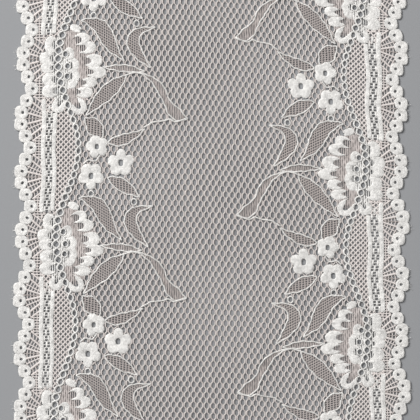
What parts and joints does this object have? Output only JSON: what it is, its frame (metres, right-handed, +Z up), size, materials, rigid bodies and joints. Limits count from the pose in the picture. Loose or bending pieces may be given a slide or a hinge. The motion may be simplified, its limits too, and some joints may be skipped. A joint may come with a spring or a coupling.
{
  "type": "stretch lace fabric",
  "caption": "Flat cut length of white stretch lace band with scalloped edges, open net and raised flower sprays, for trimming garments.",
  "frame": {"origin": "centre of the underside, on the surface that the lace lies on", "axes": "+Z up out of the face of the lace, +Y along the band, +X across it"},
  "size_m": [0.1514, 0.201, 0.0016],
  "materials": {
    "lace_yarn": "warm white knitted stretch yarn, matte with a slight sheen"
  },
  "bodies": {
    "root": {"lace_band": "lace_yarn"}
  },
  "joints": []
}
